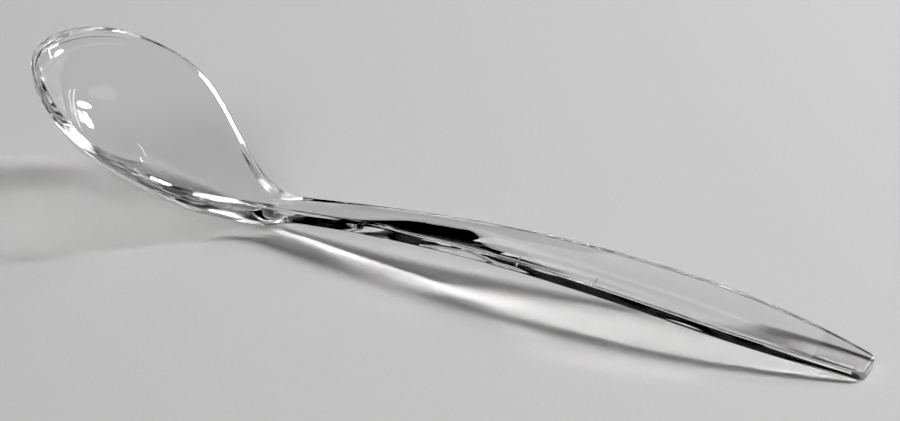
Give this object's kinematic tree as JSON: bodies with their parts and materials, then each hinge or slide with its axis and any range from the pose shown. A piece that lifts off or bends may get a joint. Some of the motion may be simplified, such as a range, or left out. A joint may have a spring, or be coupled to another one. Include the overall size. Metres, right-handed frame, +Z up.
{
  "type": "spoon",
  "caption": "Clear moulded plastic spoon: deep teardrop bowl raised at the tip, slim neck and a low arched handle that swells, then tapers to a blunt end.",
  "frame": {"origin": "On the table, halfway along the length of the spoon, on its middle plane.", "axes": "+X runs along the spoon from the bowl tip to the handle end, +Y across it, +Z up from the table it lies on."},
  "size_m": [0.18, 0.0414, 0.0306],
  "materials": {
    "clear_plastic": "polished clear"
  },
  "bodies": {
    "root": {"spoon_moulding": "clear_plastic"}
  },
  "joints": []
}
